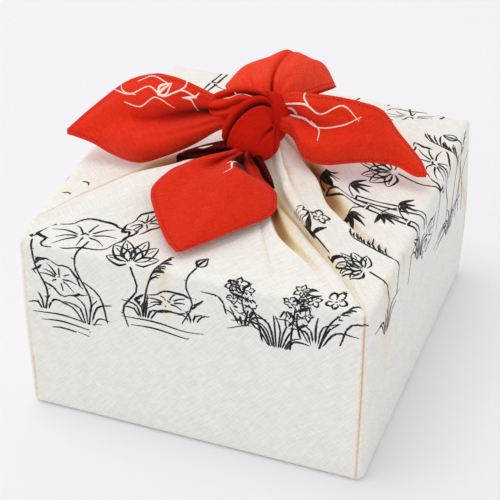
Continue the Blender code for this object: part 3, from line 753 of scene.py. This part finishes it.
brow = np.array([row[0] == "brow" for row in rows])
maps = {panel: on_panel(panel, ring_of(base)) for panel in PANELS}
for found in maps.values():
    share = (stations[brow][:, None] - BROW_FROM) / (1 - BROW_FROM)
    found[brow, :, 1] = HEIGHT + EDGE_ROUND * (2.0 * share - 1.0)
index = corner_index(wrap_mesh)
middle = np.append(places, ROUND)[index % (len(places) + 1)].mean(axis=1)
panel_of = np.searchsorted((BACK_LEFT, FRONT_LEFT, FRONT_RIGHT, BACK_RIGHT), middle, side="right") % len(PANELS)
stacked = np.stack([maps[panel].reshape(-1, 2) for panel in PANELS])
corner_places = stacked[panel_of[:, None], index]

# What is printed, panel by panel: grasses, reeds, bamboo, broad leaves and
# wild flowers, at (along the edge, up from the foot) in millimetres.
PRINTS = {
    "front": [
        lotus_leaf(-66, 128, 25, 0.35), stalk([(-62, 124), (-66, 104), (-58, 84), (-60, 66)]),
        lotus(-33, 114, 18, 1.75), stalk([(-33, 112), (-30, 98), (-38, 84), (-36, 72)]), ripples(-94, 68, 44),
        lotus_leaf(-76, 94, 15, -0.5, 0.6), bud(-93, 118, 11, 1.8),
        stalk([(-92, 116), (-90, 100), (-84, 84), (-86, 70)]),
        tuft(-60, 66, 6, 20), tuft(-86, 70, 4, 13), lotus_leaf(-12, 94, 18, 0.25, 0.36), rush(-27, 80, 44, 0.16),
        tuft(-26, 78, 6, 17), tuft(2, 82, 4, 12), ripples(-40, 78, 50, 2), bud(2, 122, 9, 1.2),
        stalk([(2, 122), (-1, 108), (2, 96), (-4, 82)], 0.5), lotus_leaf(-38, 147, 13, 0.9, 0.5),
        blade(-48, 68, 34, -0.25, -0.3),
        tuft(50, 78, 10, 25), rush(42, 82, 36, -0.25), rush(57, 80, 43, 0.08), rush(73, 86, 34, 0.3),
        spray(63, 88, 29, 1.5), spray(38, 90, 24, 1.9), bloom(27, 116, 5.5, 0.4), bloom(80, 119, 6, 1.1),
        tuft(71, 86, 7, 22), tuft(31, 88, 4, 13), blade(22, 94, 20, -0.4, -0.5), blade(84, 90, 28, 0.4, 0.5),
    ],
    "right": [
        stalk([(-38, 196), (-46, 182), (-54, 168), (-70, 148)], 0.5), lotus_leaf(-52, 178, 10, 2.4, 0.5, 0.5),
        bud(-34, 198, 10, 1.9), leaf(-58, 164, 13, 0.4), leaf(-60, 162, 12, -0.4), leaf(-55, 167, 11, 2.6),
        leaf(-70, 150, 13, 3.4), bloom(-44, 164, 5, 0.3),
        lotus(-72, 128, 15, 1.5), stalk([(-72, 126), (-76, 112), (-72, 98), (-78, 84)]), leaf(-76, 150, 15, -0.9),
        tuft(-74, 80, 7, 24), rush(-58, 92, 52, 0.12), bamboo(-22, 96, 74, 0.1), bamboo(-6, 104, 50, -0.14),
        tuft(-16, 90, 7, 22), lotus(24, 140, 19, 1.9), lotus_leaf(44, 122, 21, 0.7, 0.5), ripples(18, 74, 46, 2),
        stalk([(24, 138), (20, 122), (26, 104), (20, 82)]), stalk([(44, 120), (40, 104), (46, 88), (42, 68)]),
        rush(58, 72, 60, 0.1), rush(68, 66, 48, 0.25), tuft(54, 62, 8, 26), bud(78, 116, 10, 1.6),
        stalk([(78, 116), (80, 100), (74, 84), (76, 64)]), blade(84, 62, 38, 0.15, 0.4), blade(-36, 84, 32, 0.3, 0.4),
        lotus_leaf(2, 94, 14, 0.3, 0.5),
    ],
    "left": [
        leaf(-8, 130, 13, 0.5), leaf(-12, 126, 11, -0.3), leaf(-2, 136, 10, 1.2, 1.0), blade(-20, 122, 14, -0.4, -0.4),
        blade(46, 124, 7, 0.2, 0.4), blade(60, 118, 6, -0.3, 0.4), rush(-50, 84, 48, 0.2), tuft(-60, 78, 8, 24),
        lotus_leaf(-80, 92, 15, 0.4, 0.6), stalk([(-80, 90), (-76, 78), (-82, 66)]), lotus(-16, 94, 15, 1.5),
        stalk([(-16, 92), (-12, 80), (-18, 66)]), lotus_leaf(8, 84, 13, -0.4, 0.5), ripples(-36, 64, 44),
        tuft(52, 72, 9, 24), spray(46, 78, 28, 1.5), rush(66, 70, 36, 0.15), bloom(80, 94, 5.5, 0.6),
    ],
    "back": [
        lotus_leaf(-64, 128, 22, 0.3), lotus(-24, 132, 18, 1.5), tuft(-50, 96, 8, 22), rush(0, 98, 50, 0.15),
        stalk([(-64, 126), (-60, 112), (-66, 98), (-62, 84)]), stalk([(-24, 130), (-28, 114), (-22, 100), (-26, 82)]),
        spray(34, 104, 34, 1.3), bamboo(60, 90, 64, 0.08),
    ],
}
placed = [[(line + (PANELS[panel], 0.0), breadth) for line, breadth in motif]
          for panel, motifs in PRINTS.items() for motif in motifs]
mark(wrap_mesh, corner_places, placed, np.clip(ring_of(crease_shade), 0, 1))
wrap = finish_piece("cloth_wrap", wrap_mesh, [printed_cloth, plain_cloth], CLOTH_THICK, seam=True)


# Knot and free ends: the four dyed corners of the same cloth, tied over the
# middle. Each end is a grid between its two edges, from the knot to the tip,
# with the height of its folds at nine places across, in millimetres.
# The second and third reds are painted shade for the dyed cloth's creases; the third also colours the hem's stitches.
RED, RED_SHADED, RED_DEEP_SHADE_AND_STITCH = linear(230, 46, 18), linear(182, 22, 8), linear(46, 3, 3)
WHITE = linear(246, 226, 214)


def dyed(name, ground, shade_colour, layers=PRINT_LAYERS, contrast=0.62, hem=False):
    """Dyed cloth of a finer weave than the white, with white lines."""
    return cloth_material(name, ground, shade_colour, RED_DEEP_SHADE_AND_STITCH, WHITE, layers, contrast, 0.62, hem)


dyed_cloth = dyed("dyed cotton", RED, RED_SHADED, hem=True)
dyed_shader = dyed_cloth.node_tree.nodes["Principled BSDF"]
dyed_shader.inputs["Sheen Weight"].default_value = 0.12
dyed_shader.inputs["Sheen Roughness"].default_value = 0.5
dyed_shader.inputs["Sheen Tint"].default_value = (1.0, 0.72, 0.66, 1.0)
dyed_plain = dyed("dyed cotton, inside", RED, RED_SHADED, layers=0)
# A darker copy of the same dyed cloth for the knot's bands: painted shade.
dyed_knot_shaded = dyed("dyed cotton, knot, painted shade", linear(194, 22, 4), linear(142, 10, 3), contrast=0.55)
# A lighter, pinker copy of the same dyed cloth for the back end: painted light.
dyed_back_lit = dyed("dyed cotton, back end, painted light", linear(238, 68, 44), RED, hem=True)
END_THICK = 0.6
LEVEL = (0,) * 9
ENDS = {
    "left": (
        ((-20, -3, 47), (-10, -11, 36), LEVEL),
        ((-28, -3, 50), (-20, -13, 32), (0, 1.5, 2, 0, -3, 0, 3, 3, 0)),
        ((-43, -2, 54), (-33, -18, 23), (0, 3, 4, 1, -5, -1, 5, 5, 0)),
        ((-54, -1, 55), (-48, -25, 16), (0, 3, 5, 3, -4, 1, 7, 7, 0)),
        ((-65, 1, 53), (-63, -29, 11), (0, 3, 5, 4, -1, 4, 9, 8, 0)),
        ((-81, -1, 46), (-80, -27, 12), (0, 3, 5, 5, 5, 6, 7, 5, 0)),
        ((-97, -13, 33), (-92, -27, 17), (0, 1, 2, 3, 3, 3, 2, 1, 0)),
        ((-109, -24.5, 21.5), (-108, -26.5, 20), LEVEL),
    ),
    "front": (
        ((-3, -24, 31), (4, -26, 32), LEVEL),
        ((-7, -27, 30), (5, -29, 30), (0, 1, 1, 0, 1, 2, 1, 0, 0)),
        ((-22, -33, 26), (9, -28, 24), (0, 2, 1, -1, 2, 5, 3, 1, 0)),
        ((-30, -40, 24), (15, -35, 21), (0, 3, 2, 0, 3, 7, 6, 1, 0)),
        ((-36, -47, 22), (21, -38, 19), (0, 3, 3, 3, 6, 9, 9, 4, 0)),
        ((-40, -62, 18), (26, -42, 16), (0, 2, 3, 5, 7, 9, 9, 5, 0)),
        ((-31, -78, 14), (27, -56, 12), (0, 1, 3, 4, 6, 6, 6, 4, 0)),
        ((-18, -93, 9), (8, -79, 10), (0, 0, 1, 1.5, 2, 2, 1, 0, 0)),
        ((-10.5, -97, 6.5), (-8.5, -95.5, 6.5), LEVEL),
    ),
    "right": (
        ((2, 2, 45), (5, -4, 38), LEVEL),
        ((9, 3, 49), (14, -7, 37), (0, 1, 2, 1, 0, 2, 2, 1, 0)),
        ((16, 8, 53), (22, -6, 32), (0, 2, 3, 0, -2, 2, 4, 2, 0)),
        ((28, 9, 54), (31, -12, 24), (0, 3, 4, 1, -2, 2, 5, 4, 0)),
        ((39, 14, 52), (42, -8, 20), (0, 3, 4, 3, 1, 3, 5, 4, 0)),
        ((53, 20, 48), (52, -1, 19), (0, 2, 4, 4, 4, 5, 5, 3, 0)),
        ((65, 25, 42), (63, 6, 18), (0, 2, 3, 4, 5, 5, 4, 3, 0)),
        ((75, 25, 30), (77, 11, 16), (0, 1, 2, 3, 3, 3, 2, 1, 0)),
        ((89, 22, 17), (89, 10, 13), (0, 0, 0.5, 1, 1, 1, 0.5, 0, 0)),
        ((95, 15, 12.5), (95, 13, 12), LEVEL),
    ),
    "back": (
        ((-2, 2, 46), (12, 6, 46), (0, 1, 2, 2, 1, 2, 2, 1, 0)),
        ((-20, 9, 45), (20, 18, 46), (0, 5, 8, 9, 10, 11, 10, 7, 0)),
        ((-28, 20, 43), (27, 30, 45), (0, 8, 12, 14, 16, 16, 16, 12, 0)),
        ((-26.5, 34, 39), (31, 42, 42), (0, 9, 13, 16, 19.5, 18, 15.5, 12.5, 0)),
        ((-17, 48, 32), (27, 54, 34), (0, 6, 9, 12, 15, 14, 11, 8, 0)),
        ((-4, 60, 23), (15, 64, 23), (0, 2, 4, 5, 7, 6, 5, 3, 0)),
        ((4, 68, 15), (7, 70, 15), LEVEL),
    ),
}
# Sharp creases on an end: (along, across) where each starts and stops, as
# shares from the knot to the tip and from the first edge to the second, then
# its depth there, and its breadth.
END_CREASES = {
    "left": ((0, 0.45, 0.62, 0.50, 2.6, 0.3, 2.2), (0, 0.2, 0.45, 0.24, 1, 0.2, 1.5),
             (0.05, 0.75, 0.5, 0.72, 1.2, 0.2, 1.6)),
    "front": ((0, 0.40, 0.36, 0.28, 2.8, 0.6, 2.4), (0.05, 0.64, 0.42, 0.82, 5, 1.2, 3.4),
              (0, 0.5, 0.3, 0.52, 1, 0.2, 1.5)),
    "right": ((0, 0.42, 0.42, 0.42, 2.4, 0.4, 2), (0, 0.7, 0.3, 0.78, 1.2, 0.2, 1.5),
              (0.1, 0.2, 0.5, 0.25, 0.9, 0.2, 1.5)),
    "back": ((0, 0.58, 0.55, 0.55, 2.2, 0.8, 1.4), (0, 0.3, 0.35, 0.24, 1, 0.2, 1.6),
             (0, 0.72, 0.3, 0.8, 1, 0.2, 1.6)),
}
# Painted shade where an end lies in the shade of the knot: along, across, its
# reach both ways, amount.
END_SHADES = {
    "left": ((0, 0.6, 0.06, 0.5, 0.7), (0.12, 0.48, 0.14, 0.12, 0.75), (0.32, 0.50, 0.16, 0.08, 0.55)),
    "front": ((0, 0.7, 0.10, 0.6, 1), (0.19, 0.60, 0.10, 0.14, 1), (0.28, 0.68, 0.08, 0.11, 1.5),
              (0.36, 0.73, 0.08, 0.07, 1.4), (0.12, 0.98, 0.24, 0.16, 0.9), (0.36, 1, 0.28, 0.07, 0.5),
              (0.6, 0.5, 0.7, 0.9, 0.10)),
    "right": ((0, 0.5, 0.06, 0.5, 0.7), (0.10, 0.42, 0.10, 0.10, 0.6)),
    "back": ((0.05, 0.5, 0.10, 0.5, 0.45),),
}


def run_length(points):
    """How far each point of a line is along it."""
    return np.concatenate([[0], np.cumsum(np.linalg.norm(np.diff(points, axis=0), axis=1))])


def cloth_end(name, along=84, across=72):
    """One free end of the knot as a grid, its normal away from the box."""
    table = ENDS[name]
    first = spline([row[0] for row in table], along) + (0.0, 0.0, HEIGHT)
    second = spline([row[1] for row in table], along) + (0.0, 0.0, HEIGHT)
    heights = spline(spline([row[2] for row in table], along).T, across).T
    v = np.linspace(0, 1, across)
    points = first[:, None] * (1 - v[None, :, None]) + second[:, None] * v[None, :, None]
    run = np.gradient((first + second) / 2, axis=0)
    normal = unit(np.cross(run, second - first))
    upward = np.where(normal[:, 2:3] - 0.3 * normal[:, 1:2] < 0, -1.0, 1.0)
    normal = unit(spline((normal * upward)[::6], along))
    shade_depth = np.zeros((along, across))
    width = np.linalg.norm(second - first, axis=1)
    length = run_length((first + second) / 2)
    u_grid, v_grid = np.meshgrid(np.linspace(0, 1, along), v, indexing="ij")
    for u0, v0, u1, v1, d0, d1, breadth in END_CREASES[name]:
        share = np.clip((u_grid - u0) / (u1 - u0), 0, 1)
        beyond = np.maximum(u_grid - u1, 0) * length[-1] / breadth
        gap = (v_grid - v0 - share * (v1 - v0)) * width[:, None] / np.minimum(breadth, 0.12 * width[:, None] + 0.3)
        power = (d0 + share * (d1 - d0)) * np.exp(-beyond ** 2) * np.minimum(1, width[:, None] / 26.0)
        heights = heights + power * pressed(gap)
        # The crease is also painted with shade, the more as it is pressed deeper.
        shade_depth = np.maximum(shade_depth, np.exp(-gap ** 2) * np.clip(power / 2.0, 0, 1))
    points = points + normal[:, None] * (heights + 0.125 * np.sin(v_grid * 23 + u_grid * 9))[..., None]
    # Painted shade under the knot, as dark as each patch's amount.
    for u0, v0, reach_u, reach_v, amount in END_SHADES[name]:
        gap = ((u_grid - u0) / reach_u) ** 2 + ((v_grid - v0) / reach_v) ** 2
        shade_depth = np.maximum(shade_depth, amount * np.exp(-gap))
    arc = np.stack([run_length(row) for row in points])
    tip, root = (first[-1] + second[-1]) / 2, (first[0] + second[0]) / 2
    axis = unit(root - tip)
    aside = (second - first)[along // 2]
    aside = unit(aside - axis * (aside @ axis))
    flat = np.stack([(points - tip) @ aside, (points - tip) @ axis], -1)
    hem = np.stack([np.broadcast_to(length[:, None], v_grid.shape), np.minimum(arc, arc[:, -1:] - arc)], -1)
    facing = np.cross(points[:-1, 1:] - points[:-1, :-1], points[1:, :-1] - points[:-1, :-1])
    if np.sum(facing * normal[:-1, None]) < 0:
        points, flat, hem, shade_depth = points[:, ::-1], flat[:, ::-1], hem[:, ::-1], shade_depth[:, ::-1]
    return points, flat, hem, shade_depth


# White lines on the dyed cloth, at (aside, from the tip) on an end, and at
# (round, along) on a band of the knot.
WHITE_PRINTS = {
    "left": [
        [stroke([(-22, 28), (-17, 40), (-20, 52), (-13, 61), (-15, 72), (-10, 80)],
                (0.1, 0.3, 0.2, 0.45, 0.25, 0.4), 30),
         stroke([(-13, 36), (-9, 46), (-13, 56), (-6, 66)], (0.1, 0.25, 0.2, 0.1), 20),
         stroke([(-24, 44), (-26, 54), (-20, 64)], (0.1, 0.3, 0.1), 14)],
        bud(-14, 58, 10, 2.2), blade(-14, 68, 11, -0.5, -0.4, 0.4), blade(-11, 72, 9, 0.4, 0.5, 0.4),
        blade(-16, 44, -15, 0.4, 0.3, 0.2), blade(-11, 74, 8, 0.1, -0.3, 0.5),
    ],
    "front": [
        [stroke([(1, 67), (-1, 63), (1, 59), (-2, 55)], (0.2, 0.4, 0.2, 0.05), 14)], blade(0, 62, 5, -0.7, -0.5, 0.25),
    ],
    "right": [
        [stroke([(-9, 88), (-12, 78), (-10, 68), (-19, 58), (-14, 46)], (0.3, 0.5, 0.2, 0.3, 0.05), 26),
         stroke([(-4, 86), (-5, 76), (-3, 66), (-9, 54), (-17, 46)], (0.4, 0.5, 0.2, 0.25, 0.05), 26)],
        blade(-12, 76, 9, -0.8, -0.3, 0.4), blade(-5, 72, -12, -0.5, -0.4, 0.2), blade(-6, 80, 8, -0.4, 0.4, 0.45),
    ],
    "back": [blade(8, 30, 7, 0.4, 0.4, 0.3), blade(10, 34, 6, 0.1, 0.5, 0.3)],
    "knot_collar": [
        [stroke([(24, 9), (27, 14), (24, 19), (27, 25)], (0.1, 0.25, 0.2, 0.05), 18)], blade(27, 14, 5, 0.3, 0.5, 0.2),
    ],
    "knot_under": [[stroke([(4, 16), (5, 20), (4, 24)], (0.6, 1.6, 0.5), 8)]],
}
for name in ENDS:
    points, flat, hem, shade_depth = cloth_end(name)
    mesh = grid_mesh("%s_end" % name, points)
    mark(mesh, corners_of(mesh, flat), WHITE_PRINTS[name], shade_depth, hem)
    finish = [dyed_back_lit if name == "back" else dyed_cloth, dyed_plain]
    finish_piece("%s_end" % name, mesh, finish, END_THICK)


# The knot itself: bands of the rolled cloth, laid over one another. Each row
# is the middle of the band, and its half breadth and half thickness.
BANDS = {
    "knot_heart": (((-1, 8, 50), 8, 8), ((1, 4, 44), 15, 13), ((2, -1, 34), 15, 12), ((0, -2, 24), 10, 9)),
    "knot_front": (((10, -6, 46), 7, 4), ((6, -10, 46), 12, 6), ((3, -15, 41.5), 15.5, 8), ((1.5, -18, 35), 17, 9),
                   ((0, -16, 29), 14.5, 8), ((-2, -9, 24), 9, 6)),
    "end_fold": (((4, -22, 28), 3, 2), ((9.5, -26, 25), 3, 2), ((16, -31, 20), 2.6, 2), ((22, -36, 16.5), 1.2, 1)),
    "knot_collar": (((6, -1, 50), 4, 3), ((-1, -3, 51), 7, 5), ((-9, -4, 50), 8, 5), ((-17, -4, 46), 8, 5),
                    ((-24, -4, 43.5), 6.5, 5), ((-29, -4, 43), 4, 4)),
    "knot_under": (((-41, -24, 15), 4, 2), ((-30, -23, 18), 6, 5), ((-18, -21, 21), 8, 6), ((-5, -19, 24), 9, 6),
                   ((8, -16, 26), 6, 4)),
}
# Creases along a band: (along, around) where each starts and stops, its depth
# there, and its breadth. Around is an angle in turns, with 0.25 facing out.
BAND_CREASES = {
    "knot_heart": ((0, 0.2, 1, 0.2, 1.5, 1.5, 2),),
    "knot_front": ((0.10, 0.34, 0.9, 0.40, 3.2, 2.4, 1.6), (0.30, 0.13, 0.55, 0.18, 1.8, 0.3, 1.2),
                   (0.30, 0.09, 0.65, 0.06, 1.2, 0.4, 1.2)),
    "end_fold": ((0, 0.25, 1, 0.28, 1.2, 1, 1.4),),
    "knot_collar": ((0, 0.30, 0.9, 0.34, 2.4, 1.2, 1.6), (0.3, 0.20, 1, 0.14, 1, 1.8, 1.5)),
    "knot_under": ((0, 0.16, 1, 0.34, 3, 2.6, 1.5), (0, 0.40, 0.8, 0.22, 2.6, 1.6, 1.3),
                   (0.2, 0.10, 1, 0.20, 2, 2.6, 1.2)),
}
BAND_FINISH = {"knot_collar": dyed("dyed cotton, collar", RED, RED_SHADED)}
BAND_FACE_FROM = np.array([0.0, 30.0, HEIGHT + 28.0])
BAND_ROUND = 90.0
# The band under the knot and the fold beside the front end fill the shadowed gaps there, painted nearly black with
# shade.
SHADOW_PAINTED_BANDS, PAINTED_SHADOW_LEAST = ("knot_under", "end_fold"), 0.88


def band(name, along=72, around=96):
    """A rolled band of cloth as a closed tube, its ends drawn to a point."""
    table = BANDS[name]
    centre = spline([row[0] for row in table], along) + (0.0, 0.0, HEIGHT)
    wide = spline([row[1] for row in table], along)
    thick = spline([row[2] for row in table], along)
    taper = np.sqrt(np.clip(1 - (np.abs(np.linspace(-1, 1, along)) ** 8), 0.0, 1))
    run = unit(np.gradient(centre, axis=0))
    out = centre - BAND_FACE_FROM
    out = unit(out - run * np.sum(out * run, axis=1, keepdims=True))
    side = np.cross(out, run)
    turn = np.linspace(0, 1, around, endpoint=False)
    u_grid, turn_grid = np.meshgrid(np.linspace(0, 1, along), turn, indexing="ij")
    angle = turn_grid * 2 * math.pi
    relief, shade_depth = np.zeros(u_grid.shape), np.zeros(u_grid.shape)
    for u0, t0, u1, t1, d0, d1, breadth in BAND_CREASES[name]:
        share = np.clip((u_grid - u0) / (u1 - u0), 0, 1)
        beyond = (np.maximum(u_grid - u1, 0) + np.maximum(u0 - u_grid, 0)) * 24.0
        gap = (turn_grid - t0 - share * (t1 - t0)) * 2 * math.pi * wide[:, None] / breadth
        power = (d0 + share * (d1 - d0)) * np.exp(-beyond ** 2)
        relief += power * pressed(gap)
        # The crease is also painted with shade, the more as it is pressed deeper.
        shade_depth = np.maximum(shade_depth, np.exp(-gap ** 2) * np.clip(power / 2.0, 0, 1))
    reach_side = (wide * taper)[:, None] * np.cos(angle)
    reach_out = (thick * taper)[:, None] * np.sin(angle)
    points = centre[:, None] + side[:, None] * reach_side[..., None] + out[:, None] * reach_out[..., None]
    normal = unit(side[:, None] * (np.cos(angle) / wide[:, None])[..., None]
                  + out[:, None] * (np.sin(angle) / thick[:, None])[..., None])
    points = points + normal * (relief * taper[:, None])[..., None]
    flat = np.stack([turn_grid * BAND_ROUND, np.broadcast_to(run_length(centre)[:, None], u_grid.shape)], -1)
    return points, flat, shade_depth


for name in BANDS:
    points, flat, shade_depth = band(name)
    mesh = grid_mesh(name, ring_of(points))
    flat = np.concatenate([flat, flat[:, :1] + (BAND_ROUND, 0.0)], axis=1)
    # These bands are painted nearly black with shade all over.
    if name in SHADOW_PAINTED_BANDS:
        shade_depth = PAINTED_SHADOW_LEAST + 0.3 * shade_depth
    mark(mesh, corners_of(mesh, flat), WHITE_PRINTS.get(name, []), ring_of(shade_depth))
    finish_piece(name, mesh, [BAND_FINISH.get(name, dyed_knot_shaded)], 0, seam=True)

# Box inside the cloth: plain grey board, closed and out of sight. It keeps the
# shape that the CAD gave it and gets its finish here.
board, board_tree, board_shader = new_material("grey board", 0.9)
spot = add(board_tree, "ShaderNodeTexCoord").outputs["Object"]
fibres = add(board_tree, "ShaderNodeTexNoise", {"Vector": spot, "Scale": 400.0, "Detail": 4.0}).outputs["Fac"]
tone = blend(board_tree, fibres, linear(176, 160, 138), linear(206, 192, 170))
board_tree.links.new(tone, board_shader.inputs["Base Color"])
box_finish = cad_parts["box"].data.materials
box_finish.clear()
box_finish.append(board)

# Studio: a pale table without an edge in sight, even light from all round and
# a large soft lamp on the upper left.
bm = bmesh.new()
bmesh.ops.create_grid(bm, x_segments=1, y_segments=1, size=4.0)
floor_mesh = bpy.data.meshes.new("table")
bm.to_mesh(floor_mesh)
bm.free()
floor = show("table", floor_mesh)
table, _, table_shader = new_material("white table", 0.9)
table_shader.inputs["Base Color"].default_value = linear(243, 242, 247)
floor_mesh.materials.append(table)
world = bpy.data.worlds.new("studio")
bpy.context.scene.world = world
world.use_nodes = True
sky = world.node_tree.nodes["Background"]
sky.inputs["Color"].default_value = (1.0, 0.995, 0.985, 1.0)
toward = add(world.node_tree, "ShaderNodeTexCoord").outputs["Generated"]
rightward = add(world.node_tree, "ShaderNodeSeparateXYZ", {0: toward}).outputs[0]
world.node_tree.links.new(maths(world.node_tree, "MULTIPLY_ADD", rightward, -0.15, 0.86), sky.inputs["Strength"])
LAMP_PLACE, LAMP_AIM = Vector((-0.48, -0.10, 2.30)), Vector((0.0, 0.0, 0.06))
lamp = bpy.data.lights.new("key", "AREA")
lamp.shape, lamp.size, lamp.energy, lamp.color = "DISK", 1.3, 9.4, (1.0, 0.98, 0.95)
lit = show("key", lamp)
lit.location = LAMP_PLACE
lit.rotation_euler = (LAMP_PLACE - LAMP_AIM).to_track_quat("Z", "Y").to_euler()
